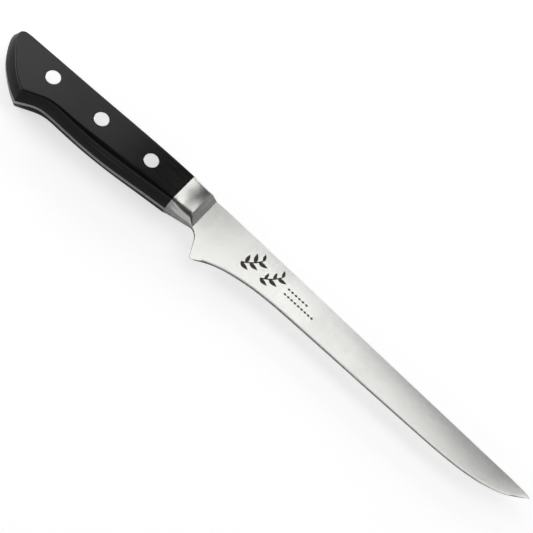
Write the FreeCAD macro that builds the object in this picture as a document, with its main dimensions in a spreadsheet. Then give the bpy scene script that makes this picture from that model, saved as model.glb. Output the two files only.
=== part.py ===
"""Boning knife with a full tang, two riveted scales and a two-piece bolster.

The knife lies flat on its left side. In the row frame +X runs from the butt to the tip, +Y from the
cutting edge to the spine and +Z out of the right side; the origin is at the bottom centre of the
bounding box. Each piece is drawn in the knife's own axes (x from the butt, y up from the highest line
of the spine, z from the middle plane of the steel) and its Placement carries it to the row frame.
"""

import FreeCAD, Part
import math
import os

import Sketcher

V = FreeCAD.Vector
RIGHT = 1
LEFT = -1
SAME_POINT = 1e-6

# Driving dimensions in millimetres: alias, value, meaning. Depths are measured down from the highest
# line of the spine, x stations from the butt, and half thicknesses from the middle plane.
DIMENSIONS = [
    ("overall_length", 303.0, "butt to tip"),
    ("overall_depth", 30.7, "spine line to the butt's lower corner"),
    ("half_handle", 7.8, "half of the handle's thickness"),
    ("half_tang", 1.0, "half of the steel's thickness at the tang"),
    ("fit_gap", 0.02, "radial clearance round barrels and rivet heads"),
    # handle outline at the steel
    ("joint_x", 100.0, "joint between scales and bolster"),
    ("joint_top_depth", 1.6, "spine side at the joint"),
    ("joint_belly_depth", 19.9, "belly side at the joint"),
    ("butt_top_x", 3.4, "end of the spine line at the butt"),
    ("butt_top_depth", 4.85, "depth there"),
    ("butt_back_depth", 8.2, "depth where the butt's back begins"),
    ("butt_corner_x", 22.0, "lower corner of the butt"),
    ("waist_rear_x", 26.75, "rear end of the waist curve"),
    ("waist_rear_depth", 27.5, "depth there"),
    ("waist_front_x", 36.0, "front end of the waist curve"),
    ("waist_front_depth", 24.65, "depth there"),
    ("belly_x", 68.0, "end of the belly's bulge"),
    ("belly_depth", 24.0, "depth there"),
    ("top_radius", 3900.0, "long crown of the spine side"),
    ("butt_radius", 39.0, "back of the butt"),
    ("butt_top_radius", 3.5, "rounding at the top of the butt"),
    ("waist_radius", 17.0, "hollow ahead of the butt's corner"),
    ("belly_radius", 260.0, "bulge of the belly"),
    # flat side face of a scale
    ("face_joint_depth", 17.65, "face's lower line at the joint"),
    ("face_butt_top_x", 6.2, "start of the face's upper line"),
    ("face_butt_top_depth", 4.75, "depth there"),
    ("face_back_x", 2.7, "rearmost point of the face"),
    ("face_back_depth", 8.2, "depth there"),
    ("face_corner_x", 21.9, "face's lower corner"),
    ("face_corner_depth", 28.0, "depth there"),
    ("face_waist_rear_x", 30.8, "rear end of the face's waist curve"),
    ("face_waist_rear_depth", 23.8, "depth there"),
    ("face_waist_front_x", 36.8, "front end of the face's waist curve"),
    ("face_waist_front_depth", 22.3, "depth there"),
    ("face_belly_x", 66.0, "end of the face's bulge"),
    ("face_belly_depth", 21.6, "depth there"),
    ("face_butt_radius", 49.0, "back of the face"),
    ("face_waist_radius", 12.0, "hollow of the face"),
    ("face_belly_radius", 250.0, "bulge of the face"),
    ("spine_round", 1.5, "rounding of the handle's spine edges"),
    # bolster: stations along x, each with its section
    ("bolster_waist_x", 105.3, "middle station of the bolster"),
    ("bolster_waist_top", 0.9, "spine side there"),
    ("bolster_waist_half", 6.1, "half thickness there"),
    ("bolster_waist_crease", 16.8, "lower line of the side there"),
    ("bolster_waist_belly", 19.15, "belly side there"),
    ("bolster_waist_round", 1.3, "rounding there"),
    ("bolster_front_x", 110.4, "top of the bolster's front slope"),
    ("bolster_front_top", 0.45, "spine side there"),
    ("bolster_front_half", 5.0, "half thickness there"),
    ("bolster_front_crease", 16.2, "lower line of the side there"),
    ("bolster_front_belly", 18.15, "belly side there"),
    ("bolster_front_round", 1.1, "rounding there"),
    ("bolster_end_x", 114.1, "foot of the bolster's front slope"),
    ("bolster_end_top", 0.2, "spine side there"),
    ("bolster_end_half", 1.35, "half thickness there"),
    ("bolster_end_crease", 17.3, "lower line of the side there"),
    ("bolster_end_belly", 17.55, "belly side there"),
    ("bolster_end_round", 0.2, "rounding there"),
    # rivets
    ("rivet_rear_x", 26.9, "rear rivet"),
    ("rivet_rear_depth", 13.1, "depth of the rear rivet"),
    ("rivet_middle_x", 54.3, "middle rivet"),
    ("rivet_middle_depth", 12.2, "depth of the middle rivet"),
    ("rivet_front_x", 82.0, "front rivet"),
    ("rivet_front_depth", 10.7, "depth of the front rivet"),
    ("head_radius", 3.4, "rivet head"),
    ("head_thickness", 1.6, "rivet head"),
    ("barrel_radius", 2.0, "outside of the female half's barrel"),
    ("shank_radius", 1.4, "male half's shank"),
    ("barrel_end", 4.5, "barrel's mouth, beyond the middle plane"),
    ("shank_end", 5.0, "shank's end, beyond the middle plane"),
    ("bore_spare", 0.2, "room in the barrel past the shank's end"),
    # blade
    ("ricasso_x", 116.5, "end of the steel's full thickness"),
    ("ricasso_top", 0.05, "spine side there"),
    ("ricasso_low_half", 0.7, "half thickness at the foot of that section"),
    ("choil_x", 113.8, "start of the hollow ahead of the bolster"),
    ("choil_depth", 17.75, "depth there"),
    ("choil_low_x", 118.4, "end of the hollow's round part"),
    ("choil_low_depth", 20.9, "depth there"),
    ("choil_radius", 6.0, "round part of the hollow"),
    ("heel_x", 122.2, "back of the heel"),
    ("heel_depth", 29.0, "depth of the heel's point"),
    ("bevel_height", 0.9, "height of the sharpened bevel"),
    ("tip_bevel_height", 0.225, "height of the bevel at the tip"),
    ("heel_spare", 3.6, "how far the cut ahead of the bolster runs past the heel"),
    ("bevel_half", 0.16, "half thickness above the bevel"),
]

# Blade sections from heel to tip: x, depth of the spine, depth of the edge, half thickness at the spine.
BLADE_STATIONS = [
    (122.2, 0.0, 29.1, 1.0),
    (127.8, 0.12, 26.45, 0.99),
    (134.5, 0.22, 23.4, 0.98),
    (143.0, 0.35, 21.2, 0.97),
    (153.6, 0.5, 19.6, 0.95),
    (170.0, 0.75, 18.7, 0.92),
    (195.0, 1.1, 18.3, 0.87),
    (222.0, 1.45, 17.9, 0.81),
    (248.0, 1.85, 17.45, 0.75),
    (263.0, 2.05, 16.85, 0.71),
    (274.0, 2.2, 15.75, 0.68),
    (283.5, 2.35, 13.75, 0.65),
    (291.5, 2.45, 10.75, 0.6),
    (298.0, 2.6, 7.15, 0.5),
    (303.0, 3.1, 3.6, 0.25),
]

# Handle outline: corners as (x, depth) and, for each side that leaves a corner, the radius of its arc or
# None. A radius with a minus sign bends the side the other way.
STEEL_CORNERS = [
    ("butt_top_x", "butt_top_depth", "top_radius"),
    ("joint_x", "joint_top_depth", None),
    ("joint_x", "joint_belly_depth", None),
    ("belly_x", "belly_depth", "belly_radius"),
    ("waist_front_x", "waist_front_depth", "-waist_radius"),
    ("waist_rear_x", "waist_rear_depth", None),
    ("butt_corner_x", "overall_depth", "butt_radius"),
    (None, "butt_back_depth", "butt_top_radius"),
]
FACE_CORNERS = [
    ("face_butt_top_x", "face_butt_top_depth", "top_radius"),
    ("joint_x", "joint_top_depth", None),
    ("joint_x", "face_joint_depth", None),
    ("face_belly_x", "face_belly_depth", "face_belly_radius"),
    ("face_waist_front_x", "face_waist_front_depth", "-face_waist_radius"),
    ("face_waist_rear_x", "face_waist_rear_depth", None),
    ("face_corner_x", "face_corner_depth", "face_butt_radius"),
    ("face_back_x", "face_back_depth", "butt_top_radius"),
]

# Corners of the handle outline on the spine side, and the angles in degrees at which its rounding is drawn.
SPINE_CORNERS = (0, 1)
ROUNDING_STEPS = (0, 30, 60, 90)

RIVETS = ["rear", "middle", "front"]


def make_sheet(doc):
    """Spreadsheet of the driving dimensions and of the blade's stations."""
    sheet = doc.addObject("Spreadsheet::Sheet", "dims")
    rows = list(DIMENSIONS)
    names = ("station_x_", "station_spine_", "station_edge_", "station_half_")
    for index, station in enumerate(BLADE_STATIONS):
        for name, size in zip(names, station):
            rows.append((name + str(index), size, "blade section"))
    for row, (alias, size, meaning) in enumerate(rows, start=1):
        sheet.set("A%d" % row, alias)
        sheet.set("B%d" % row, str(size))
        sheet.set("C%d" % row, meaning)
        sheet.setAlias("B%d" % row, alias)
    doc.recompute()


def cell(alias):
    """Expression for a cell, with an optional minus sign; None stands for zero."""
    if alias is None:
        return "0"
    if alias.startswith("-"):
        return "-dims." + alias[1:]
    return "dims." + alias


def down(alias):
    """Expression for the y of a depth."""
    return "-(%s)" % cell(alias)


def number(owner, expression):
    """Value of an expression as a plain number."""
    return float(owner.evalExpression(expression))


def new_body(doc, name):
    """Body placed from the knife's own axes to the row frame."""
    body = doc.addObject("PartDesign::Body", name)
    body.Label = name
    body.setExpression("Placement.Base.x", "-dims.overall_length / 2")
    body.setExpression("Placement.Base.y", "dims.overall_depth / 2")
    body.setExpression("Placement.Base.z", "dims.half_handle")
    return body


def new_sketch(body, name, role, offset="0"):
    """Sketch on one of the body's origin planes, lifted along the plane's normal."""
    sketch = body.newObject("Sketcher::SketchObject", name)
    plane = next(item for item in body.Origin.OriginFeatures if item.Role == role)
    sketch.AttachmentSupport = [(plane, "")]
    sketch.MapMode = "FlatFace"
    sketch.setExpression("AttachmentOffset.Base.z", offset)
    return sketch


def bulge_point(start, end, radius):
    """Middle of the shorter arc from start to end, to the left of travel for a positive radius."""
    chord = end - start
    half = chord.Length / 2
    rise = abs(radius) - math.sqrt(radius * radius - half * half)
    left = V(-chord.y, chord.x, 0).normalize()
    return (start + end) / 2 + left * math.copysign(rise, radius)


def pin_point(sketch, edge, end, x_expression, y_expression):
    """Fix one end of an edge at two bound distances from the origin."""
    for kind, axis_expression in (("DistanceX", x_expression), ("DistanceY", y_expression)):
        size = number(sketch, axis_expression)
        index = sketch.addConstraint(Sketcher.Constraint(kind, -1, 1, edge, end, size))
        sketch.setExpression("Constraints[%d]" % index, axis_expression)


def edge_ends(sketch, edge, start):
    """Numbers of an edge's start and end, given where the outline starts it; arcs may run either way."""
    if sketch.getPoint(edge, 1).distanceToPoint(start) < SAME_POINT:
        return 1, 2
    return 2, 1


def draw_outline(sketch, corners):
    """Closed outline through corners (x expression, y expression, radius expression or None)."""
    count = len(corners)
    points = [V(number(sketch, x), number(sketch, y), 0) for x, y, _ in corners]
    for index, (_, _, radius) in enumerate(corners):
        start = points[index]
        end = points[(index + 1) % count]
        if radius is None:
            sketch.addGeometry(Part.LineSegment(start, end), False)
        else:
            middle = bulge_point(start, end, number(sketch, radius))
            sketch.addGeometry(Part.Arc(start, middle, end), False)
    ends = [edge_ends(sketch, index, points[index]) for index in range(count)]
    for index, (x, y, radius) in enumerate(corners):
        follower = (index + 1) % count
        join = Sketcher.Constraint("Coincident", index, ends[index][1], follower, ends[follower][0])
        sketch.addConstraint(join)
        pin_point(sketch, index, ends[index][0], x, y)
        if radius is not None:
            size = abs(number(sketch, radius))
            bend = sketch.addConstraint(Sketcher.Constraint("Radius", index, size))
            sketch.setExpression("Constraints[%d]" % bend, "abs(%s)" % radius)


def draw_circles(sketch, radius):
    """A circle at each rivet."""
    for index, place in enumerate(RIVETS):
        centre = ("dims.rivet_%s_x" % place, "-dims.rivet_%s_depth" % place)
        point = V(number(sketch, centre[0]), number(sketch, centre[1]), 0)
        circle = Part.Circle(point, V(0, 0, 1), number(sketch, radius))
        sketch.addGeometry(circle, False)
        pin_point(sketch, index, 3, *centre)
        bend = sketch.addConstraint(Sketcher.Constraint("Radius", index, circle.Radius))
        sketch.setExpression("Constraints[%d]" % bend, radius)


def handle_outline(corners):
    """Corner list of the handle as expressions."""
    return [(cell(x), down(depth), cell(bend) if bend else None) for x, depth, bend in corners]


def add_symmetric_pad(body, sketch, length):
    pad = body.newObject("PartDesign::Pad", sketch.Name + "_pad")
    pad.Profile = sketch
    pad.setExpression("Length", length)
    pad.SideType = "Symmetric"
    return pad


def add_loft(body, sketches, ruled):
    loft = body.newObject("PartDesign::AdditiveLoft", sketches[0].Name + "_loft")
    loft.Profile = sketches[0]
    loft.Sections = sketches[1:]
    loft.Ruled = ruled
    return loft


def add_through_pocket(body, sketch):
    """Pocket through everything, both ways from its sketch."""
    pocket = body.newObject("PartDesign::Pocket", sketch.Name + "_pocket")
    pocket.Profile = sketch
    pocket.Type = "ThroughAll"
    pocket.Midplane = True
    return pocket


def add_blind_pocket(body, sketch, length, reverse):
    pocket = body.newObject("PartDesign::Pocket", sketch.Name + "_pocket")
    pocket.Profile = sketch
    pocket.setExpression("Length", length)
    pocket.Reversed = reverse
    return pocket


def section_corners(index):
    """Wedge with a sharpened bevel, as corners of the blade's section at one station."""
    spine = "-dims.station_spine_%d" % index
    edge = "-dims.station_edge_%d" % index
    half = "dims.station_half_%d" % index
    shoulder_half = "dims.bevel_half"
    shoulder = "%s + dims.bevel_height" % edge
    if index == len(BLADE_STATIONS) - 1:
        shoulder = "%s + dims.tip_bevel_height" % edge
    return [
        (spine, half, None),
        (spine, "-" + half, None),
        (shoulder, "-" + shoulder_half, None),
        (edge, "0", None),
        (shoulder, shoulder_half, None),
    ]


def blade_section(body, index):
    """Sketch across the blade at one station."""
    sketch = new_sketch(body, "section_%d" % index, "YZ_Plane", "dims.station_x_%d" % index)
    draw_outline(sketch, section_corners(index))
    return sketch


def make_blade(doc):
    """One piece of steel: tang, ricasso, ground blade and heel."""
    body = new_body(doc, "blade")

    tang = new_sketch(body, "tang_outline", "XY_Plane")
    front = [
        ("dims.joint_x", "-dims.joint_top_depth", None),
        ("dims.bolster_waist_x", "-dims.bolster_waist_top", None),
        ("dims.bolster_front_x", "-dims.bolster_front_top", None),
        ("dims.ricasso_x", "-dims.ricasso_top", None),
        ("dims.ricasso_x", "-dims.choil_low_depth", None),
        ("dims.choil_x", "-dims.choil_low_depth", None),
        ("dims.choil_x", "-dims.choil_depth", None),
        ("dims.bolster_front_x", "-dims.bolster_front_belly", None),
        ("dims.bolster_waist_x", "-dims.bolster_waist_belly", None),
    ]
    rear = handle_outline(STEEL_CORNERS)
    draw_outline(tang, rear[:1] + front + rear[2:])
    add_symmetric_pad(body, tang, "2 * dims.half_tang")

    ricasso = new_sketch(body, "ricasso_section", "YZ_Plane", "dims.ricasso_x")
    shoulder = "-dims.station_edge_0 + dims.bevel_height"
    corners = [
        ("-dims.ricasso_top", "dims.half_tang", None),
        ("-dims.ricasso_top", "-dims.half_tang", None),
        (shoulder, "-dims.ricasso_low_half", None),
        ("-dims.station_edge_0", "0", None),
        (shoulder, "dims.ricasso_low_half", None),
    ]
    draw_outline(ricasso, corners)
    sections = [blade_section(body, index) for index in range(len(BLADE_STATIONS))]
    add_loft(body, [ricasso, sections[0]], ruled=True)
    add_loft(body, sections, ruled=False)

    choil = new_sketch(body, "choil_outline", "XY_Plane")
    corners = [
        ("dims.choil_x", "-dims.choil_depth", "dims.choil_radius"),
        ("dims.choil_low_x", "-dims.choil_low_depth", None),
        ("dims.heel_x", "-dims.heel_depth", None),
        ("dims.heel_x", "-dims.heel_depth - dims.heel_spare", None),
        ("dims.choil_x", "-dims.heel_depth - dims.heel_spare", None),
    ]
    draw_outline(choil, corners)
    add_through_pocket(body, choil)

    holes = new_sketch(body, "rivet_holes", "XY_Plane")
    draw_circles(holes, "dims.barrel_radius + dims.fit_gap")
    add_through_pocket(body, holes)
    return body


def sided(side, expression):
    """Expression on the right side of the steel, or its opposite on the left side."""
    return expression if side == RIGHT else "-(%s)" % expression


def mixed(steel_alias, face_alias, share):
    """Expression part of the way from a size at the steel to the same size at the side face."""
    return "(%s + (%s - %s) * %s)" % (cell(steel_alias), cell(face_alias), cell(steel_alias), share)


def scale_outline(level, drop):
    """Outline of a scale at a height above the middle plane, its spine line lowered by drop."""
    share = "((%s - dims.half_tang) / (dims.half_handle - dims.half_tang))" % level
    corners = []
    for index, (steel, face) in enumerate(zip(STEEL_CORNERS, FACE_CORNERS)):
        depth = mixed(steel[1], face[1], share)
        if index in SPINE_CORNERS:
            depth = "(%s + %s)" % (depth, drop)
        bend = mixed(steel[2], face[2], share) if steel[2] else None
        corners.append((mixed(steel[0], face[0], share), "-" + depth, bend))
    return corners


def make_scale(doc, side):
    """Handle scale, lofted from its outline at the steel to its flat side face."""
    body = new_body(doc, "scale_right" if side == RIGHT else "scale_left")
    sketches = [new_sketch(body, "steel_side", "XY_Plane", sided(side, "dims.half_tang"))]
    draw_outline(sketches[0], scale_outline("dims.half_tang", "0"))
    for degrees in ROUNDING_STEPS:
        sink = 1 - math.sin(math.radians(degrees))
        fall = 1 - math.cos(math.radians(degrees))
        level = "(dims.half_handle - dims.spine_round * %.4f)" % sink
        sketch = new_sketch(body, "outline_%d" % degrees, "XY_Plane", sided(side, level))
        draw_outline(sketch, scale_outline(level, "dims.spine_round * %.4f" % fall))
        sketches.append(sketch)
    add_loft(body, sketches, ruled=True)

    bores = new_sketch(body, "barrel_bores", "XY_Plane")
    draw_circles(bores, "dims.barrel_radius + dims.fit_gap")
    add_through_pocket(body, bores)
    seats = new_sketch(body, "head_seats", "XY_Plane", sided(side, "dims.half_handle"))
    draw_circles(seats, "dims.head_radius + dims.fit_gap")
    add_blind_pocket(body, seats, "dims.head_thickness", side == LEFT)
    return body


def bolster_section(body, side, place, station):
    """Half of the bolster's section, from the tang's face outwards."""
    sketch = new_sketch(body, "section_" + place, "YZ_Plane", station["x"])
    top = "-" + station["top"]
    inside = sided(side, "dims.half_tang")
    outside = sided(side, station["half"])
    shoulder = sided(side, "%s - %s" % (station["half"], station["round"]))
    bend = "-" + station["round"] if side == RIGHT else station["round"]
    corners = [
        ("-" + station["belly"], inside, None),
        (top, inside, None),
        (top, shoulder, bend),
        ("%s - %s" % (top, station["round"]), outside, None),
        ("-" + station["crease"], outside, None),
    ]
    draw_outline(sketch, corners)
    return sketch


def bolster_station(place):
    """Cells of one of the bolster's stations."""
    if place == "joint":
        return {
            "x": "dims.joint_x",
            "top": "dims.joint_top_depth",
            "half": "dims.half_handle",
            "crease": "dims.face_joint_depth",
            "belly": "dims.joint_belly_depth",
            "round": "dims.spine_round",
        }
    keys = ("x", "top", "half", "crease", "belly", "round")
    return {key: "dims.bolster_%s_%s" % (place, key) for key in keys}


def make_bolster(doc, side):
    """Bolster half: flush with the scale at the joint, thinning to the blade."""
    body = new_body(doc, "bolster_right" if side == RIGHT else "bolster_left")
    places = ("joint", "waist", "front", "end")
    sketches = [bolster_section(body, side, place, bolster_station(place)) for place in places]
    add_loft(body, sketches, ruled=True)
    return body


def rivet_body(doc, name, place):
    """Body of a rivet half, its own origin on the rivet's axis at the middle plane."""
    body = new_body(doc, name)
    body.setExpression("Placement.Base.x", "dims.rivet_%s_x - dims.overall_length / 2" % place)
    body.setExpression("Placement.Base.y", "dims.overall_depth / 2 - dims.rivet_%s_depth" % place)
    return body


def turn(body, sketch):
    """Full turn about the body's own z axis."""
    revolution = body.newObject("PartDesign::Revolution", sketch.Name + "_turn")
    revolution.Profile = sketch
    revolution.ReferenceAxis = (sketch, ["V_Axis"])
    revolution.Angle = 360
    return revolution


def make_female(doc, place):
    """Female half: head on the right scale, tubular barrel with a blind bore."""
    body = rivet_body(doc, "rivet_%s_female" % place, place)
    sketch = new_sketch(body, "half_section", "XZ_Plane")
    seat = "dims.half_handle - dims.head_thickness"
    bore = "dims.shank_radius + dims.fit_gap"
    bore_end = "dims.shank_end + dims.bore_spare"
    corners = [
        ("0", "dims.half_handle", None),
        ("0", bore_end, None),
        (bore, bore_end, None),
        (bore, "-dims.barrel_end", None),
        ("dims.barrel_radius", "-dims.barrel_end", None),
        ("dims.barrel_radius", seat, None),
        ("dims.head_radius", seat, None),
        ("dims.head_radius", "dims.half_handle", None),
    ]
    draw_outline(sketch, corners)
    turn(body, sketch)
    return body


def make_male(doc, place):
    """Male half: head on the left scale and a solid shank inside the barrel."""
    body = rivet_body(doc, "rivet_%s_male" % place, place)
    sketch = new_sketch(body, "half_section", "XZ_Plane")
    seat = "dims.head_thickness - dims.half_handle"
    corners = [
        ("0", "-dims.half_handle", None),
        ("dims.head_radius", "-dims.half_handle", None),
        ("dims.head_radius", seat, None),
        ("dims.shank_radius", seat, None),
        ("dims.shank_radius", "dims.shank_end", None),
        ("0", "dims.shank_end", None),
    ]
    draw_outline(sketch, corners)
    turn(body, sketch)
    return body


def faults(doc, bodies):
    """Problems found in the document after its last recompute."""
    found = []
    for item in doc.Objects:
        if "Invalid" in item.State or "Error" in item.State:
            found.append("%s: %s" % (item.Name, item.State))
    for body in bodies:
        shape = body.Shape
        if shape.isNull() or not shape.isValid() or len(shape.Solids) != 1:
            found.append("%s: not one valid solid" % body.Label)
    return found


def main():
    doc = FreeCAD.newDocument("boning_knife")
    make_sheet(doc)
    bodies = [make_blade(doc)]
    for side in (LEFT, RIGHT):
        bodies.append(make_scale(doc, side))
        bodies.append(make_bolster(doc, side))
    for place in RIVETS:
        bodies.append(make_female(doc, place))
        bodies.append(make_male(doc, place))
    doc.recompute()
    found = faults(doc, bodies)
    if found:
        raise RuntimeError("; ".join(found))
    os.makedirs("parts", exist_ok=True)
    for body in bodies:
        body.Shape.exportStep("parts/%s.step" % body.Label)
        print("%-22s %9.1f mm3" % (body.Label, body.Shape.Volume))


main()
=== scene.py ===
"""Boning knife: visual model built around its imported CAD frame.

Pieces are drawn in the knife's own axes, in millimetres: x from the butt towards the tip, depth down from
the highest line of the spine, and z out of the right side from the middle plane of the steel. place() turns
them into the frame's own metres.
"""

import math

import bmesh
import bpy
import numpy as np
from mathutils import Matrix, Vector
from mathutils.bvhtree import BVHTree


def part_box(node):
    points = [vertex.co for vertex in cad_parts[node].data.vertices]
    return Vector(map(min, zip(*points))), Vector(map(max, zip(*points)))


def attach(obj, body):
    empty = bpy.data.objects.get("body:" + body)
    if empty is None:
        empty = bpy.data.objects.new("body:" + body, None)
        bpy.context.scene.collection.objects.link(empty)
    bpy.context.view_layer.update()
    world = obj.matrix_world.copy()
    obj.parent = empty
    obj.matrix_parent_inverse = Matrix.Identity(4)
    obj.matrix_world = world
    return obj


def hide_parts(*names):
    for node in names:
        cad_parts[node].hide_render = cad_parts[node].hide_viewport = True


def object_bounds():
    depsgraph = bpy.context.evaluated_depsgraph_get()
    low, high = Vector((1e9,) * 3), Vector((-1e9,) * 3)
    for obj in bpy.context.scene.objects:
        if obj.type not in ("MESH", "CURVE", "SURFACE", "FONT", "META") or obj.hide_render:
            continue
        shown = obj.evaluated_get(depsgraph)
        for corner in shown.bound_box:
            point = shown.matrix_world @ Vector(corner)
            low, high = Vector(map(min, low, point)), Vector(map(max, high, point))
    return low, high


bl_info = {
    "name": "Boning Knife",
    "version": (1, 0, 0),
    "blender": (4, 5, 0),
    "location": "View3D > Sidebar > Knife",
    "description": "Builds a riveted full-tang boning knife around its packed frame",
    "category": "Add Mesh",
}

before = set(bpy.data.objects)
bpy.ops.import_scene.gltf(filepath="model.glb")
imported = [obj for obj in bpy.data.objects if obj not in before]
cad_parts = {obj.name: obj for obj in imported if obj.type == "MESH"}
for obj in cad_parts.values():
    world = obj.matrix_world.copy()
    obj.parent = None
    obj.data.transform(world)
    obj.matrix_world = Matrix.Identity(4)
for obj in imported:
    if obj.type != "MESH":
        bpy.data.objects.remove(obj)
CAD_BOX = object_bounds()

MM = 0.001
BODY = "root"
BLADE = "ground_blade"
BUTT_X = CAD_BOX[0][0]
SPINE_Y = CAD_BOX[1][1]
MIDDLE_Z = (CAD_BOX[0][2] + CAD_BOX[1][2]) / 2
HALF_HANDLE = (CAD_BOX[1][2] - CAD_BOX[0][2]) / 2 / MM
HALF_STEEL = (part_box("blade")[1][2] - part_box("blade")[0][2]) / 2 / MM
JOINT_X = (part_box("scale_right")[1][0] - BUTT_X) / MM
TIP_X = (CAD_BOX[1][0] - BUTT_X) / MM
BOLSTER_END_X = (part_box("bolster_right")[1][0] - BUTT_X) / MM
HEAD_RADIUS = (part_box("rivet_rear_female")[1][0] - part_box("rivet_rear_female")[0][0]) / 2
RIVET_PLACES = ("rear", "middle", "front")
MERGE = 1e-6

# Rivets and the holes they sit in, in millimetres: bore and seats, how far drills run clear, heads and stems.
STEM_BORE = 2.02
SEAT_SPARE = 0.1
SEAT_DEPTH = 1.6
SCALE_DRILL_SPARE = 1.0
STEEL_DRILL_REACH = 3.0
STEM_GAP = 0.12
HEAD_DEPTH = 1.5
HEAD_INSET = 0.004
HEAD_CHAMFER = 0.09
HOLE_SIDES = 64
HEAD_SIDES = 72

# Rivet halves: name, side of the knife, radius of the barrel or shank, and turn of the whole half.
RIVET_HALVES = (("female", 1, 2.0, 0.0), ("male", -1, 1.4, math.pi))

# Ground steel, in millimetres: chamfers, the edge's own half thickness, and the thinnest that anything gets.
# GRIND_CURVE is the share of the blade's taper that is curved, not straight.
STEEL_CHAMFER = 0.12
TANG_CHAMFER = 0.02
EDGE_FOOT = 0.01
THINNEST = 0.004
GROUND_ROWS = 21
GRIND_CURVE = 0.7

# Bolster, in millimetres: depth of the line its side is crowned about, half thickness and rounding of the
# spine edge at its front end.
CROWN_DEPTH = 8.0
BOLSTER_END_HALF = 1.2
BOLSTER_END_ROUND = 0.05

# Outlines as (x, depth) in millimetres. Each list is one smooth stretch; corners are where lists meet.
STEEL_REAR_LOW = [(0, 7.0), (0.4, 9.2), (1.4, 11.6), (4.1, 16.0), (7.0, 19.8), (10.4, 23.1), (14.1, 26.0),
                  (18.2, 28.7), (22, 30.65)]
STEEL_FRONT_LOW = [(22, 30.65), (24.4, 29.15), (26.75, 27.6), (29.3, 26.15), (32.2, 25.15), (36, 24.7),
                   (45, 24.7), (55, 24.7), (68, 24.0), (80.5, 22.45), (90, 21.15), (JOINT_X, 19.9)]
STEEL_REAR_TOP = [(0, 7.0), (0.35, 6.1), (1.3, 5.3), (3.4, 4.85), (10, 4.6), (22, 4.15)]
FRONT_TOP = [(22, 4.15), (45, 3.35), (66.9, 2.4), (82, 1.85), (92, 1.65), (JOINT_X, 1.6)]
FACE_REAR_LOW = [(2.7, 7.6), (3.3, 9.8), (5.4, 13.4), (8.0, 16.6), (12.6, 21.4), (17.3, 25.2), (21.9, 28.0)]
FACE_FRONT_LOW = [(21.9, 28.0), (26, 25.9), (30, 23.95), (32.7, 22.95), (36.8, 22.3), (47, 22.4),
                  (57.6, 22.15), (68.2, 21.3), (76.7, 20.5), (89.4, 19.0), (JOINT_X, 17.65)]
FACE_REAR_TOP = [(2.7, 7.6), (2.95, 6.3), (4.2, 5.2), (6.4, 4.78), (11, 4.56), (22, 4.15)]

# Bolster along x: depth of the spine side, half thickness over the side and over the front slope, then depth
# of the side's lower line and depth of the belly.
BOLSTER_TOP = [(JOINT_X, 1.6), (103, 1.2), (106, 0.82), (110.4, 0.42), (BOLSTER_END_X, 0.18)]
BOLSTER_SIDE = [(JOINT_X, 7.8), (101.5, 7.25), (104, 6.45), (107, 5.65), (110.2, 5.1)]
BOLSTER_SLOPE = [(110.2, 5.1), (110.9, 4.55), (112.5, 2.75), (113.5, 1.7), (BOLSTER_END_X, BOLSTER_END_HALF)]
BOLSTER_CREASE = [(JOINT_X, 17.65), (103, 17.2), (107, 16.65), (110.4, 16.2), (112, 16.7),
                  (BOLSTER_END_X, 17.35)]
BOLSTER_BELLY = [(JOINT_X, 19.9), (103, 19.5), (107, 18.85), (110.4, 18.15), (112.5, 17.75),
                 (BOLSTER_END_X, 17.6)]

# Blade: spine, hollow ahead of the bolster, and cutting edge.
CHOIL_ROUND = [(BOLSTER_END_X, 17.6), (115.3, 18.0), (116.6, 18.75), (117.6, 19.75), (118.4, 21.1)]
CHOIL_DROP = [(118.4, 21.1), (119.9, 24.2), (121.1, 26.7), (121.9, 28.45), (122.3, 28.95)]
EDGE_HEEL = [(122.3, 28.95), (123.2, 28.95), (124.5, 28.4), (127.8, 26.45), (132.1, 24.35), (136.4, 22.8),
             (140.7, 21.7), (147, 20.45), (153.6, 19.55), (162.3, 18.9), (172, 18.6)]
EDGE_LONG = [(172, 18.6), (188, 18.35), (215, 18.0), (244.6, 17.5), (253.2, 17.3), (262, 16.9),
             (270.7, 16.15), (279.5, 14.75), (284, 13.6), (288.4, 12.15), (293, 10.1), (297.7, 7.2),
             (301, 4.75), (TIP_X, 3.3)]
SPINE_LONG = [(BOLSTER_END_X, 0.18), (118.6, 0.03), (124, 0.01), (132, 0.12), (153.7, 0.48), (188.7, 1.0),
              (245, 1.85), (280, 2.3), (296, 2.5), (300.3, 2.75), (TIP_X, 3.3)]

# Half thickness of the steel along the spine and along the edge.
SPINE_HALF = [(110, 1.0), (122, 1.0), (170, 0.92), (248, 0.75), (280, 0.6), (292, 0.48), (298, 0.32),
              (TIP_X, 0.14)]
EDGE_HALF = [(BOLSTER_END_X, 1.0), (117, 0.72), (122.3, 0.34), (130, 0.19), (150, 0.17), (TIP_X, 0.17)]

# Values that change along x in straight steps: how soft the lower edge of the side face is, on the scales as
# a share and on the bolster in millimetres, how far the bolster's side is crowned, and the share of the
# bevel's full height.
SCALE_SOFTNESS = [(20, 0), (34, 0.2), (60, 1), (88, 0.9), (100, 0.55)]
BOLSTER_SOFTNESS = [(JOINT_X, 1.8), (102, 2.8), (110.2, 2.2), (BOLSTER_END_X, 0.1)]
BOLSTER_CROWN = [(JOINT_X, 0), (102, 0.2), (104.5, 0.5), (109, 0.6), (BOLSTER_END_X, 0)]
BEVEL_SHARE = [(122.3, 0.2), (131, 1), (284, 1), (299, 0.3)]

COLUMNS = {"rear": 60, "front": 150, "bolster": 56, "choil": 22, "drop": 18, "heel": 80, "long": 260}
HANDLE_SAMPLES = (8, 9, 18, 9, 4)

# Stretch of the polishing lines: across the blade and bolster, and along the rivet heads.
LINES_ACROSS = (60.0, 1.0, 1.0)
LINES_ALONG = (1.0, 60.0, 1.0)

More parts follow.
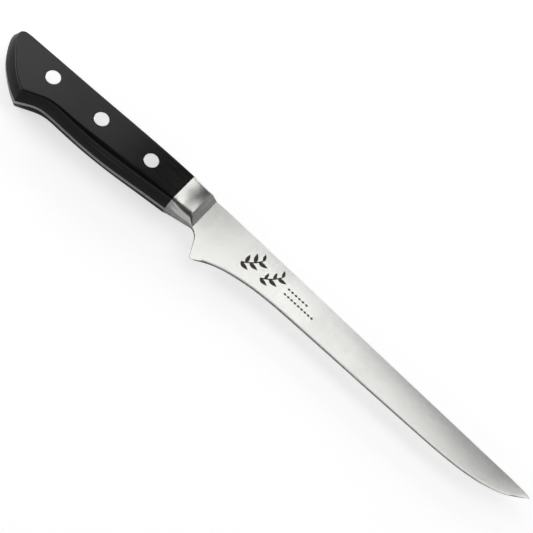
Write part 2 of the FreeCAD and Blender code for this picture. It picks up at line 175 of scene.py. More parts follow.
# Ornament, as (x, depth): the stems of the leaf sprays, then rows of diamonds as (depth, start, end, count).
STEMS = (
    [(139.6, 13.8), (142.3, 11.8), (144.8, 9.4), (146.8, 6.4)],
    [(150.6, 13.4), (153.3, 11.4), (155.8, 9.0), (157.8, 6.0)],
)
DIAMOND_ROWS = ((8.0, 163.4, 173.6, 6), (11.0, 163.4, 179.0, 9))
FIRST_SEED = 3

# Stage, in metres. The floor and the backdrop are lifted by the last two only where they are seen directly.
FLOOR_REACH = 3.0
FLOOR_GAP = 0.0002
OVERHEAD = 1.2
WALL_HEIGHT = 0.45
WALL_REACH = 1.5
WATTS_PER_AREA = 4.0
ROOM_GLOW = 0.06
BACKDROP_SEEN = 0.88
FLOOR_SEEN = 0.64

# Soft boxes: name, middle, size, brightness. The overhead ones are side by side, each mirrored by its own
# stretch of the knife; the walls stand low around it.
LIGHTS = [
    ("butt_box", (-0.75, 0.83, OVERHEAD), (0.70, 0.66), 1.5),
    ("rear_box", (-0.325, 0.83, OVERHEAD), (0.15, 0.66), 1.0),
    ("blade_box", (0.02, 0.49, OVERHEAD), (0.24, 0.50), 1.18),
    ("middle_box", (0.25, 0.40, OVERHEAD), (0.22, 0.40), 0.94),
    ("tip_box", (0.49, 0.34, OVERHEAD), (0.26, 0.30), 0.8),
    ("side_box", (0.98, 0.55, OVERHEAD), (0.70, 1.1), 1.35),
    ("back_wall", (0.0, WALL_REACH, WALL_HEIGHT), (2.4, 0.8), 1.5),
    ("front_wall", (0.0, -WALL_REACH, WALL_HEIGHT), (3.4, 0.9), 0.5),
    ("left_wall", (-WALL_REACH, 0.0, WALL_HEIGHT), (2.4, 0.8), 3.2),
    ("right_wall", (WALL_REACH, 1.0, WALL_HEIGHT), (1.2, 0.8), 0.2),
]


def length(name, description, millimetres):
    """Length setting with its default in millimetres."""
    return bpy.props.FloatProperty(
        name=name, description=description, default=millimetres * MM, unit="LENGTH"
    )


def colour(name, description, default):
    """Colour setting."""
    return bpy.props.FloatVectorProperty(
        name=name, description=description, subtype="COLOR", size=3, default=default, min=0, max=1
    )


class KnifeSizes(bpy.types.PropertyGroup):
    """Sizes that do not come from the frame."""

    spine_round: length("Spine Rounding", "Rounding of the handle's spine edges", 1.5)
    butt_crease: length("Butt Crease", "Softness of the face's edge at the butt", 0.55)
    belly_crease: length("Belly Crease", "Softness of the face's edge at the middle of the handle", 2.3)
    band_bulge: length("Band Bulge", "How far the belly band bows out", 0.4)
    bevel_height: length("Bevel Height", "Height of the sharpened bevel", 0.85)
    mark_lift: length("Mark Thickness", "Thickness of the etched ornament", 0.02)


class KnifeColours(bpy.types.PropertyGroup):
    """Base colours of the finishes."""

    steel: colour("Blade Steel", "Satin steel of the blade", (0.74, 0.745, 0.72))
    bolster: colour("Bolster Steel", "Polished steel of the bolster", (0.60, 0.605, 0.58))
    scale: colour("Scale", "Near-black handle material", (0.0034, 0.0036, 0.0041))
    rivet: colour("Rivet", "Bright rivet heads", (1.0, 1.0, 0.99))
    mark: colour("Mark", "Dark etched ornament", (0.048, 0.040, 0.034))
    floor: colour("Floor", "Pale floor", (0.60, 0.60, 0.60))


class KnifeSettings(bpy.types.PropertyGroup):
    """All settings of the knife."""

    sizes: bpy.props.PointerProperty(type=KnifeSizes, name="Sizes", description="Sizes of the knife")
    colours: bpy.props.PointerProperty(type=KnifeColours, name="Colours", description="Colours of the knife")


def place(x, depth, z=0.0):
    """Point of the frame, in metres, from the knife's own millimetres."""
    return Vector((BUTT_X + x * MM, SPINE_Y - depth * MM, MIDDLE_Z + z * MM))


def smooth(points, samples=24):
    """Centripetal Catmull-Rom curve through the points, as a dense array."""
    points = np.array(points, float)
    first = 2 * points[0] - points[1]
    last = 2 * points[-1] - points[-2]
    padded = np.vstack([first, points, last])
    dense = []
    for a, b, c, d in zip(padded[:-3], padded[1:-2], padded[2:-1], padded[3:]):
        steps = [math.sqrt(np.linalg.norm(q - p)) for p, q in ((a, b), (b, c), (c, d))]
        t1, t2, t3 = np.cumsum(steps)
        for t in np.linspace(t1, t2, samples, endpoint=False):
            ab = a + (b - a) * t / t1
            bc = b + (c - b) * (t - t1) / (t2 - t1)
            cd = c + (d - c) * (t - t2) / (t3 - t2)
            abc = ab + (bc - ab) * t / t2
            bcd = bc + (cd - bc) * (t - t1) / (t3 - t1)
            dense.append(abc + (bcd - abc) * (t - t1) / (t2 - t1))
    dense.append(points[-1])
    return np.array(dense)


def trace(points, count):
    """count + 1 points evenly spaced along the smooth curve."""
    dense = smooth(points)
    run = np.concatenate([[0], np.cumsum(np.linalg.norm(np.diff(dense, axis=0), axis=1))])
    wanted = np.linspace(0, run[-1], count + 1)
    return np.column_stack([np.interp(wanted, run, dense[:, k]) for k in range(2)])


def chain(*stretches):
    """Stretches of (points, count) traced and joined end to end, without repeated ends."""
    parts = [trace(points, count) for points, count in stretches]
    return np.vstack([parts[0]] + [part[1:] for part in parts[1:]])


def read(table, x):
    """Value at x of a dense (x, value) table."""
    return float(np.interp(x, table[:, 0], table[:, 1]))


def at(points, x):
    """Value of a smooth (x, value) curve at x."""
    return read(smooth(points), x)


def between(points, x):
    """Value at x of (x, value) points joined by straight lines."""
    return float(np.interp(x, *zip(*points)))


def rounded(corners, softness, samples):
    """Polyline through corners with its inner corners softened by curves.

    softness holds one distance per inner corner and samples one count per straight and per bend in turn.
    """
    most = 0.48
    corners = [np.array(corner, float) for corner in corners]
    path = []
    start = corners[0]
    for index in range(1, len(corners) - 1):
        before, corner, after = corners[index - 1], corners[index], corners[index + 1]
        reach_in = min(softness[index - 1], np.linalg.norm(corner - before) * most)
        reach_out = min(softness[index - 1], np.linalg.norm(after - corner) * most)
        enter = corner + unit(before - corner) * reach_in
        leave = corner + unit(after - corner) * reach_out
        path += straight(start, enter, samples[2 * index - 2])
        for t in np.linspace(0, 1, samples[2 * index - 1], endpoint=False):
            path.append(enter * (1 - t) ** 2 + corner * 2 * t * (1 - t) + leave * t * t)
        start = leave
    path += straight(start, corners[-1], samples[-1])
    path.append(corners[-1])
    return path


def unit(vector):
    """Vector of length one, or zero where there is no direction."""
    size = np.linalg.norm(vector)
    return vector / size if size > 1e-9 else vector * 0


def straight(start, end, count):
    """Points at even steps from start, without the end."""
    return [start + (end - start) * t for t in np.linspace(0, 1, count, endpoint=False)]


def skin(name, sections):
    """Closed mesh object over a row of closed sections, each a list of points in metres."""
    work = bmesh.new()
    rings = [[work.verts.new(point) for point in section] for section in sections]
    count = len(rings[0])
    for near, far in zip(rings[:-1], rings[1:]):
        for k in range(count):
            following = (k + 1) % count
            work.faces.new((near[k], near[following], far[following], far[k]))
    work.faces.new(list(reversed(rings[0])))
    work.faces.new(rings[-1])
    return finish_mesh(name, work)


def finish_mesh(name, work):
    """Merges doubles, turns the faces outwards and makes an object of the mesh."""
    bmesh.ops.remove_doubles(work, verts=work.verts, dist=2 * MERGE)
    bmesh.ops.dissolve_degenerate(work, edges=work.edges, dist=MERGE / 2)
    bmesh.ops.recalc_face_normals(work, faces=work.faces)
    mesh = bpy.data.meshes.new(name)
    work.to_mesh(mesh)
    work.free()
    shade(mesh)
    piece = bpy.data.objects.new(name, mesh)
    bpy.context.collection.objects.link(piece)
    return piece


def shade(mesh, degrees=24):
    """Smooth shading with sharp edges past an angle."""
    mesh.polygons.foreach_set("use_smooth", [True] * len(mesh.polygons))
    mesh.set_sharp_from_angle(angle=math.radians(degrees))


def bake(piece):
    """Replaces a piece by its plain evaluated mesh, with no modifiers left."""
    depsgraph = bpy.context.evaluated_depsgraph_get()
    mesh = bpy.data.meshes.new_from_object(piece.evaluated_get(depsgraph))
    piece.modifiers.clear()
    if piece.type == "MESH":
        piece.data = mesh
        return piece
    baked = bpy.data.objects.new(piece.name + "_mesh", mesh)
    bpy.context.collection.objects.link(baked)
    bpy.data.objects.remove(piece)
    return baked


def drill(piece, cylinders):
    """Cuts cylinders of (centre, radius, low z, high z) out of a piece."""
    work = bmesh.new()
    for centre, radius, low, high in cylinders:
        middle = Vector((centre.x, centre.y, (low + high) / 2))
        bmesh.ops.create_cone(
            work, cap_ends=True, segments=HOLE_SIDES, radius1=radius, radius2=radius, depth=high - low,
            matrix=Matrix.Translation(middle)
        )
    cutter = finish_mesh("cutter", work)
    cut = piece.modifiers.new("holes", "BOOLEAN")
    cut.operation = "DIFFERENCE"
    cut.solver = "EXACT"
    cut.object = cutter
    bake(piece)
    bpy.data.objects.remove(cutter)
    shade(piece.data)
    return piece


def settle(piece, slot, *nodes):
    """Gives a finished piece its body and hides the CAD nodes it stands for; slot is not used."""
    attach(piece, BODY)
    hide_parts(*nodes)


def rivet_centre(where):
    """Middle of a rivet, on the middle plane of the steel."""
    low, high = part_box("rivet_%s_female" % where)
    return Vector(((low[0] + high[0]) / 2, (low[1] + high[1]) / 2, MIDDLE_Z))


# ---------------------------------------------------------------- materials


def new_group(name, inputs, outputs):
    """Shader node group with named float or vector sockets."""
    tree = bpy.data.node_groups.new(name, "ShaderNodeTree")
    for label, kind, value in inputs:
        socket = tree.interface.new_socket(label, in_out="INPUT", socket_type=kind)
        if value is not None:
            socket.default_value = value
    for label, kind in outputs:
        tree.interface.new_socket(label, in_out="OUTPUT", socket_type=kind)
    entry = tree.nodes.new("NodeGroupInput")
    leave = tree.nodes.new("NodeGroupOutput")
    return tree, entry.outputs, leave.inputs


def feed(tree, socket, source):
    """Gives an input a socket's output or a plain value."""
    if isinstance(source, bpy.types.NodeSocket):
        tree.links.new(source, socket)
    else:
        socket.default_value = source


def maths(tree, operation, *sources):
    """Math node with values or sockets as its inputs; returns its output."""
    node = tree.nodes.new("ShaderNodeMath")
    node.operation = operation
    for socket, source in zip(node.inputs, sources):
        feed(tree, socket, source)
    return node.outputs[0]


def spread(tree, source, low, high, to_low=0.0, to_high=1.0):
    """Smooth Map Range of a value."""
    node = tree.nodes.new("ShaderNodeMapRange")
    node.interpolation_type = "SMOOTHSTEP"
    names = ("Value", "From Min", "From Max", "To Min", "To Max")
    for name, value in zip(names, (source, low, high, to_low, to_high)):
        feed(tree, node.inputs[name], value)
    return node.outputs["Result"]


def noise(tree, vector, scale, detail=4.0, roughness=0.55):
    """Noise texture's value."""
    node = tree.nodes.new("ShaderNodeTexNoise")
    names = ("Vector", "Scale", "Detail", "Roughness")
    for name, value in zip(names, (vector, scale, detail, roughness)):
        feed(tree, node.inputs[name], value)
    return node.outputs["Fac"]


def stretched(tree, vector, factors):
    """Vector multiplied axis by axis."""
    node = tree.nodes.new("ShaderNodeVectorMath")
    node.operation = "MULTIPLY"
    feed(tree, node.inputs[0], vector)
    feed(tree, node.inputs[1], factors)
    return node.outputs["Vector"]


def build_brushing():
    """Fine parallel polishing lines: fine and broad streaks as one value and one height."""
    tree, entry, leave = new_group(
        "Polishing Lines",
        [("Vector", "NodeSocketVector", None), ("Stretch", "NodeSocketVector", (1, 60, 1))],
        [("Streaks", "NodeSocketFloat"), ("Height", "NodeSocketFloat")],
    )
    lines = stretched(tree, entry["Vector"], entry["Stretch"])
    fine = noise(tree, lines, 420.0, 3.0)
    broad = noise(tree, lines, 70.0, 2.0)
    fine_part = maths(tree, "MULTIPLY", fine, 0.6)
    both = maths(tree, "ADD", fine_part, maths(tree, "MULTIPLY", broad, 0.4))
    tree.links.new(both, leave["Streaks"])
    tree.links.new(fine, leave["Height"])
    return tree


def build_handling():
    """Marks of handling: faint smudges and a few fine scratches, as masks."""
    tree, entry, leave = new_group(
        "Handling Marks",
        [("Vector", "NodeSocketVector", None), ("Size", "NodeSocketFloat", 60.0)],
        [("Smudge", "NodeSocketFloat"), ("Scratch", "NodeSocketFloat")],
    )
    clouds = noise(tree, entry["Vector"], entry["Size"], 5.0, 0.6)
    tree.links.new(spread(tree, clouds, 0.42, 0.72), leave["Smudge"])
    turned = tree.nodes.new("ShaderNodeMapping")
    turned.inputs["Rotation"].default_value = (0, 0, math.radians(17))
    turned.inputs["Scale"].default_value = (1, 22, 1)
    tree.links.new(entry["Vector"], turned.inputs["Vector"])
    hairs = noise(tree, turned.outputs["Vector"], 130.0, 2.0, 0.4)
    tree.links.new(spread(tree, hairs, 0.70, 0.76), leave["Scratch"])
    return tree


def build_edge_wear():
    """Worn corners: a mask that is one on convex edges and zero on flats."""
    tree, entry, leave = new_group(
        "Edge Wear",
        [("Vector", "NodeSocketVector", None), ("Grain", "NodeSocketFloat", 300.0)],
        [("Mask", "NodeSocketFloat")],
    )
    geometry = tree.nodes.new("ShaderNodeNewGeometry")
    sharp = spread(tree, geometry.outputs["Pointiness"], 0.52, 0.60)
    patches = spread(tree, noise(tree, entry["Vector"], entry["Grain"], 2.0, 0.5), 0.35, 0.6)
    tree.links.new(maths(tree, "MULTIPLY", sharp, patches), leave["Mask"])
    return tree


def place_group(tree, name, builder, where, **values):
    """Places a shared group, built on its first use, with its own values; returns its outputs."""
    node = tree.nodes.new("ShaderNodeGroup")
    node.node_tree = bpy.data.node_groups.get(name) or builder()
    feed(tree, node.inputs["Vector"], where)
    for label, value in values.items():
        feed(tree, node.inputs[label], value)
    return node.outputs


def surface_marks(tree, where, stretch, smudge_size, grain):
    """The three shared effects: polishing lines, marks of handling, and worn edges."""
    lines = place_group(tree, "Polishing Lines", build_brushing, where, Stretch=stretch)
    handling = place_group(tree, "Handling Marks", build_handling, where, Size=smudge_size)
    wear = place_group(tree, "Edge Wear", build_edge_wear, where, Grain=grain)
    return lines, handling, wear


def new_material(name):
    """Material with its Principled shader and object coordinates."""
    material = bpy.data.materials.new(name)
    material.use_nodes = True
    tree = material.node_tree
    shader = tree.nodes["Principled BSDF"]
    coordinates = tree.nodes.new("ShaderNodeTexCoord")
    return material, tree, shader, coordinates.outputs["Object"]


def blend_colours(tree, mask, first, second):
    """Colour that goes from first to second with a mask; each is a colour or a socket."""
    node = tree.nodes.new("ShaderNodeMix")
    node.data_type = "RGBA"
    tree.links.new(mask, node.inputs["Factor"])
    for socket, source in ((node.inputs[6], first), (node.inputs[7], second)):
        feed(tree, socket, (*source, 1.0) if isinstance(source, tuple) else source)
    return node.outputs[2]


def add_bump(tree, shader, height, distance, strength):
    """Relief of a height that changes over the surface."""
    bump = tree.nodes.new("ShaderNodeBump")
    bump.inputs["Distance"].default_value = distance
    bump.inputs["Strength"].default_value = strength
    tree.links.new(height, bump.inputs["Height"])
    tree.links.new(bump.outputs["Normal"], shader.inputs["Normal"])


def scaled(tint, factor):
    """Colour made lighter or darker."""
    return tuple(min(1.0, channel * factor) for channel in tint)


def steel_material(name, tint, roughness, stretch, streak, bump):
    """Steel polished in one direction, with smudges, hair scratches and brighter worn corners."""
    material, tree, shader, where = new_material(name)
    shader.inputs["Metallic"].default_value = 1.0
    brushing, handling, wear = surface_marks(tree, where, stretch, 55.0, 400.0)
    tone = blend_colours(tree, brushing["Streaks"], scaled(tint, 1 - streak), scaled(tint, 1 + streak))
    worn = blend_colours(tree, wear["Mask"], tone, scaled(tint, 1.15))
    tree.links.new(worn, shader.inputs["Base Color"])
    lines = spread(tree, brushing["Streaks"], 0.3, 0.7, roughness * 0.88, roughness * 1.12)
    smudged = maths(tree, "ADD", lines, maths(tree, "MULTIPLY", handling["Smudge"], 0.035))
    scratched = maths(tree, "ADD", smudged, maths(tree, "MULTIPLY", handling["Scratch"], 0.05))
    tree.links.new(scratched, shader.inputs["Roughness"])
    add_bump(tree, shader, brushing["Height"], 0.02 * MM, bump)
    return material


def scale_material(tint):
    """Dense black laminate: faint long grain, satin polish, smudges and rubbed corners."""
    material, tree, shader, where = new_material("black_laminate")
    shader.inputs["Coat Weight"].default_value = 0.2
    shader.inputs["Coat Roughness"].default_value = 0.1
    shader.inputs["IOR"].default_value = 1.33
    grain, handling, wear = surface_marks(tree, where, (0.5, 9.0, 9.0), 70.0, 500.0)
    streaks = spread(tree, grain["Streaks"], 0.38, 0.66)
    tone = blend_colours(tree, streaks, scaled(tint, 0.55), scaled(tint, 1.7))
    worn = blend_colours(tree, wear["Mask"], tone, scaled(tint, 3.2))
    tree.links.new(worn, shader.inputs["Base Color"])
    polish = spread(tree, grain["Streaks"], 0.3, 0.7, 0.13, 0.19)
    smudged = maths(tree, "ADD", polish, maths(tree, "MULTIPLY", handling["Smudge"], 0.05))
    tree.links.new(smudged, shader.inputs["Roughness"])
    add_bump(tree, shader, grain["Height"], 0.03 * MM, 0.35)
    return material


def mark_material(tint):
    """Etched oxide: dark, rough and slightly uneven."""
    material, tree, shader, where = new_material("etched_oxide")
    shader.inputs["Metallic"].default_value = 0.4
    mottle = spread(tree, noise(tree, where, 1500.0), 0.35, 0.65)
    tone = blend_colours(tree, mottle, scaled(tint, 0.7), scaled(tint, 1.6))
    tree.links.new(tone, shader.inputs["Base Color"])
    tree.links.new(spread(tree, mottle, 0.0, 1.0, 0.5, 0.68), shader.inputs["Roughness"])
    add_bump(tree, shader, mottle, 0.01 * MM, 0.4)
    return material


def floor_material(tint):
    """Matt paper sweep with a trace of tooth, lit from below where it is seen directly."""
    material, tree, shader, where = new_material("paper_floor")
    tooth = noise(tree, where, 900.0, 3.0)
    tone = blend_colours(tree, tooth, scaled(tint, 0.99), scaled(tint, 1.01))
    tree.links.new(tone, shader.inputs["Base Color"])
    shader.inputs["Roughness"].default_value = 0.9
    shader.inputs["Emission Color"].default_value = (1, 1, 1, 1)
    ray = tree.nodes.new("ShaderNodeLightPath")
    glow = maths(tree, "MULTIPLY", ray.outputs["Is Camera Ray"], FLOOR_SEEN)
    tree.links.new(glow, shader.inputs["Emission Strength"])
    return material


# ---------------------------------------------------------------- pieces


def scale_columns():
    """Matching columns of the four outlines of a scale, from the butt to the joint."""
    rear, front = COLUMNS["rear"], COLUMNS["front"]
    steel_low = chain((STEEL_REAR_LOW, rear), (STEEL_FRONT_LOW, front))
    steel_top = chain((STEEL_REAR_TOP, rear), (FRONT_TOP, front))
    face_low = chain((FACE_REAR_LOW, rear), (FACE_FRONT_LOW, front))
    face_top = chain((FACE_REAR_TOP, rear), (FRONT_TOP, front))
    return steel_low, face_low, face_top, steel_top


def crease_softness(x, sizes):
    """Softness of the face's lower edge: crisp at the butt, soft along the belly."""
    share = between(SCALE_SOFTNESS, x)
    return (sizes.butt_crease + (sizes.belly_crease - sizes.butt_crease) * share) / MM


def bowed(path, start, stop, bulge):
    """Path with the points from start to stop pushed outwards, most at the middle."""
    chord = unit(path[stop] - path[start])
    out = np.array([0.0, chord[2], -chord[1]])
    out = unit(out) * (1 if out[1] > 0 else -1)
    for index in range(start + 1, stop):
        t = (index - start) / (stop - start)
        path[index] = path[index] + out * bulge * math.sin(math.pi * t)
    return path


def handle_section(low, crease, top_face, top, half, softness, spine_round, side, bulge):
    """Closed section of a scale or bolster half, from the steel over the side face and back to the steel."""
    corners = [(*low, HALF_STEEL), (*crease, half), (*top_face, half), (*top, HALF_STEEL)]
    path = rounded(corners, (softness, spine_round), HANDLE_SAMPLES)
    path = bowed(path, 0, HANDLE_SAMPLES[0], bulge)
    return [place(x, depth, side * z) for x, depth, z in path]


def side_holes(side, floor, radius):
    """Cylinders at the three rivets, from a floor in millimetres to clear of one side of the handle."""
    heights = (floor, HALF_HANDLE + SCALE_DRILL_SPARE)
    levels = sorted(MIDDLE_Z + side * height * MM for height in heights)
    return [(rivet_centre(where), radius, *levels) for where in RIVET_PLACES]


def make_scale(name, side, sizes):
    """Scale of the handle, with bores for the rivets and seats for their heads."""
    sections = []
    for low, crease, top_face, top in zip(*scale_columns()):
        sections.append(handle_section(
            low, crease, top_face, top, HALF_HANDLE, crease_softness(low[0], sizes),
            sizes.spine_round / MM, side, sizes.band_bulge / MM
        ))
    piece = skin(name, sections)
    drill(piece, side_holes(side, HALF_HANDLE - SEAT_DEPTH, HEAD_RADIUS + SEAT_SPARE * MM))
    return drill(piece, side_holes(side, 0, STEM_BORE * MM))


def crowned(point, x, half):
    """Drops a point of the bolster's side away from the middle of the face, most at its front."""
    crown = between(BOLSTER_CROWN, x)
    depth = (SPINE_Y - point[1]) / MM
    height = (abs(point[2] - MIDDLE_Z) / MM - HALF_STEEL) / (half - HALF_STEEL)
    drop = crown * ((depth - CROWN_DEPTH) / CROWN_DEPTH) ** 2 * max(height, 0)
    sign = 1 if point[2] > MIDDLE_Z else -1
    return Vector((point[0], point[1], point[2] - sign * drop * MM))


def make_bolster(name, side, sizes):
    """Bolster half: a hollowed side that thins towards a short front slope."""
    split = BOLSTER_SIDE[-1][0]
    near = np.linspace(JOINT_X, split, COLUMNS["bolster"] // 2 + 1)
    far = np.linspace(split, BOLSTER_END_X, COLUMNS["bolster"] // 2 + 1)[1:]
    sections = []
    for x in np.concatenate([near, far]):
        half = at(BOLSTER_SIDE, x) if x <= split else at(BOLSTER_SLOPE, x)
        share = (half - BOLSTER_END_HALF) / (HALF_HANDLE - BOLSTER_END_HALF)
        spine_round = sizes.spine_round / MM * share + BOLSTER_END_ROUND
        top, crease, low = ((x, at(line, x)) for line in (BOLSTER_TOP, BOLSTER_CREASE, BOLSTER_BELLY))
        softness = between(BOLSTER_SOFTNESS, x)
        bulge = sizes.band_bulge / MM * share
        section = handle_section(low, crease, top, top, half, softness, spine_round, side, bulge)
        sections.append([crowned(point, x, half) for point in section])
    return skin(name, sections)


EDGE_TABLE, SPINE_TABLE = smooth(EDGE_HEEL + EDGE_LONG[1:]), smooth(SPINE_LONG)
EDGE_HALF_TABLE, SPINE_HALF_TABLE = smooth(EDGE_HALF), smooth(SPINE_HALF)


def ground_half(x, depth):
    """Half thickness of the steel at a place: full at the tang, a gently convex wedge in the blade."""
    top, low = read(SPINE_TABLE, x), read(EDGE_TABLE, x)
    spine, edge = read(SPINE_HALF_TABLE, x), read(EDGE_HALF_TABLE, x)
    if x > EDGE_HEEL[0][0]:
        edge = min(edge, spine * 0.5)
    share = min(1.0, max(0.0, (depth - top) / max(low - top, 0.05)))
    fall = share * (1 - GRIND_CURVE) + share * share * GRIND_CURVE
    return spine + (edge - spine) * fall


def steel_section(top, low, bevel, chamfer=STEEL_CHAMFER, foot_half=None):
    """Closed section of the steel, from spine to edge and back on the other side.

    bevel is the height of the slope down to the edge, which ends foot_half from the middle or a chamfer in.
    """
    x_top, depth_top = top
    x_low, depth_low = low
    height = depth_low - depth_top
    chamfer = min(chamfer, height * 0.2)
    bevel = min(bevel, height * 0.45)
    shoulder = depth_low - bevel
    rows = [(depth_top, ground_half(x_top, depth_top) - chamfer)]
    for share in np.linspace(0, 1, GROUND_ROWS):
        depth = depth_top + chamfer + (shoulder - depth_top - chamfer) * share
        rows.append((depth, ground_half(x_top + (x_low - x_top) * share, depth)))
    rows.append((depth_low, foot_half if foot_half is not None else rows[-1][1] - chamfer))
    right = []
    for depth, half in rows:
        share = (depth - depth_top) / height if height > 1e-6 else 0
        right.append((x_top + (x_low - x_top) * share, depth, max(half, THINNEST)))
    left = [(x, depth, -half) for x, depth, half in reversed(right)]
    return [place(*point) for point in right + left]


def make_blade(name, sizes):
    """One piece of steel from butt to tip."""
    tang = COLUMNS["rear"] + COLUMNS["front"]
    steel_low, _, _, steel_top = scale_columns()
    low = chain(
        (BOLSTER_BELLY, COLUMNS["bolster"]), (CHOIL_ROUND, COLUMNS["choil"]), (CHOIL_DROP, COLUMNS["drop"]),
        (EDGE_HEEL, COLUMNS["heel"]), (EDGE_LONG, COLUMNS["long"])
    )
    heel = COLUMNS["bolster"] + COLUMNS["choil"] + COLUMNS["drop"]
    spine = smooth(BOLSTER_TOP + SPINE_LONG[1:])
    top = np.column_stack([low[:, 0], np.interp(low[:, 0], spine[:, 0], spine[:, 1])])
    sections = []
    for index in range(tang):
        sections.append(steel_section(steel_top[index], steel_low[index], STEEL_CHAMFER, TANG_CHAMFER))
    for index, (above, below) in enumerate(zip(top, low)):
        if index < heel:
            sections.append(steel_section(above, below, STEEL_CHAMFER))
        else:
            bevel = sizes.bevel_height / MM * between(BEVEL_SHARE, below[0])
            sections.append(steel_section(above, below, bevel, foot_half=EDGE_FOOT))
    piece = skin(name, sections)
    levels = (MIDDLE_Z - STEEL_DRILL_REACH * MM, MIDDLE_Z + STEEL_DRILL_REACH * MM)
    return drill(piece, [(rivet_centre(where), STEM_BORE * MM, *levels) for where in RIVET_PLACES])


# ---------------------------------------------------------------- geometry nodes


def new_node_tree(name, **inputs):
    """Geometry node group with a geometry in and out, a material, and named inputs of the kinds given."""
    tree = bpy.data.node_groups.new(name, "GeometryNodeTree")
    tree.interface.new_socket("Geometry", in_out="INPUT", socket_type="NodeSocketGeometry")
    for label, kind in {**inputs, "Material": "Material"}.items():
        tree.interface.new_socket(label.replace("_", " "), in_out="INPUT", socket_type="NodeSocket" + kind)
    tree.interface.new_socket("Geometry", in_out="OUTPUT", socket_type="NodeSocketGeometry")
    entry = tree.nodes.new("NodeGroupInput")
    leave = tree.nodes.new("NodeGroupOutput")
    return tree, entry.outputs, leave.inputs["Geometry"]


def geo(tree, kind, links=None, **settings):
    """Geometry node with its settings, and its inputs given as sockets or plain values."""
    node = tree.nodes.new(kind)
    for label, value in settings.items():
        setattr(node, label, value)
    for label, source in (links or {}).items():
        feed(tree, node.inputs[label], source)
    return node


def close_tree(tree, entry, leave, geometry):
    """Ends a tree: instances made real, then the material set."""
    real = geo(tree, "GeometryNodeRealizeInstances", {"Geometry": geometry})
    painted = geo(
        tree, "GeometryNodeSetMaterial",
        {"Geometry": real.outputs["Geometry"], "Material": entry["Material"]},
    )
    tree.links.new(painted.outputs["Geometry"], leave)
    return tree


def grow(tree, piece, values):
    """Adds the tree to a piece, sets its inputs by their identifiers and bakes the result."""
    modifier = piece.modifiers.new(tree.name, "NODES")
    modifier.node_group = tree
    for item in tree.interface.items_tree:
        if item.in_out == "INPUT" and item.name in values:
            modifier[item.identifier] = values[item.name]
    return bake(piece)


def step_out(tree, mesh, selection, offset, size=None):
    """Pushes the selected face out along z and sizes it; returns its mesh and the new selection."""
    along = geo(tree, "ShaderNodeCombineXYZ", {"Z": offset})
    push = geo(
        tree, "GeometryNodeExtrudeMesh",
        {"Mesh": mesh, "Offset": along.outputs["Vector"], "Offset Scale": 1.0}, mode="FACES",
    )
    if selection is not None:
        tree.links.new(selection, push.inputs["Selection"])
    if size is None:
        return push.outputs["Mesh"], push.outputs["Top"]
    resize = geo(
        tree, "GeometryNodeScaleElements",
        {"Geometry": push.outputs["Mesh"], "Selection": push.outputs["Top"], "Scale": size},
    )
    return resize.outputs["Geometry"], push.outputs["Top"]


def build_rivets():
    """A turned rivet half on every point: chamfered head, then a barrel or shank."""
    tree, entry, leave = new_node_tree(
        "Rivet Halves", Head_Radius="Float", Head_Depth="Float", Stem_Radius="Float", Stem_Length="Float",
        Chamfer="Float", Flip="Float",
    )
    face_radius = maths(tree, "SUBTRACT", entry["Head Radius"], entry["Chamfer"])
    disc = geo(
        tree, "GeometryNodeMeshCircle", {"Vertices": HEAD_SIDES, "Radius": face_radius}, fill_type="NGON"
    ).outputs["Mesh"]
    down = [maths(tree, "MULTIPLY", entry[label], -1.0) for label in ("Chamfer", "Head Depth", "Stem Length")]
    widen = maths(tree, "DIVIDE", entry["Head Radius"], face_radius)
    narrow = maths(tree, "DIVIDE", entry["Stem Radius"], entry["Head Radius"])
    body, top = step_out(tree, disc, None, down[0], widen)
    body, top = step_out(tree, body, top, down[1])
    body, top = step_out(tree, body, top, 0.0, narrow)
    body, top = step_out(tree, body, top, down[2])
    joined = geo(tree, "GeometryNodeJoinGeometry")
    tree.links.new(body, joined.inputs["Geometry"])
    tree.links.new(disc, joined.inputs["Geometry"])
    closed = geo(
        tree, "GeometryNodeMergeByDistance", {"Geometry": joined.outputs["Geometry"], "Distance": MERGE}
    )
    turn = geo(tree, "ShaderNodeCombineXYZ", {"X": entry["Flip"]})
    copies = geo(
        tree, "GeometryNodeInstanceOnPoints",
        {
            "Points": entry["Geometry"], "Instance": closed.outputs["Geometry"],
            "Rotation": turn.outputs["Vector"],
        },
    )
    return close_tree(tree, entry, leave, copies.outputs["Instances"])


def build_leaf(tree, entry):
    """One flat leaf: a grid narrowed to a lens with its tip bent aside."""
    blank = geo(
        tree, "GeometryNodeMeshGrid", {"Size X": 1.0, "Size Y": 1.0, "Vertices X": 15, "Vertices Y": 3}
    )
    spot = geo(tree, "GeometryNodeInputPosition")
    parts = geo(tree, "ShaderNodeSeparateXYZ", {"Vector": spot.outputs["Position"]})
    along = maths(tree, "ADD", parts.outputs["X"], 0.5)
    lens = maths(tree, "SINE", maths(tree, "MULTIPLY", maths(tree, "POWER", along, 0.75), math.pi))
    across = maths(tree, "MULTIPLY", maths(tree, "MULTIPLY", parts.outputs["Y"], lens), entry["Leaf Width"])
    reach = maths(tree, "MULTIPLY", entry["Leaf Width"], 0.35)
    bend = maths(tree, "MULTIPLY", maths(tree, "MULTIPLY", along, along), reach)
    shaped = geo(
        tree, "ShaderNodeCombineXYZ",
        {"X": maths(tree, "MULTIPLY", along, entry["Leaf Length"]), "Y": maths(tree, "ADD", across, bend)},
    )
    return geo(
        tree, "GeometryNodeSetPosition",
        {"Geometry": blank.outputs["Mesh"], "Position": shaped.outputs["Vector"]},
    ).outputs["Geometry"]


def random_value(tree, low, high, seed):
    """Random number for each point."""
    node = geo(tree, "FunctionNodeRandomValue", {"Min": low, "Max": high, "Seed": seed}, data_type="FLOAT")
    return node.outputs[1]


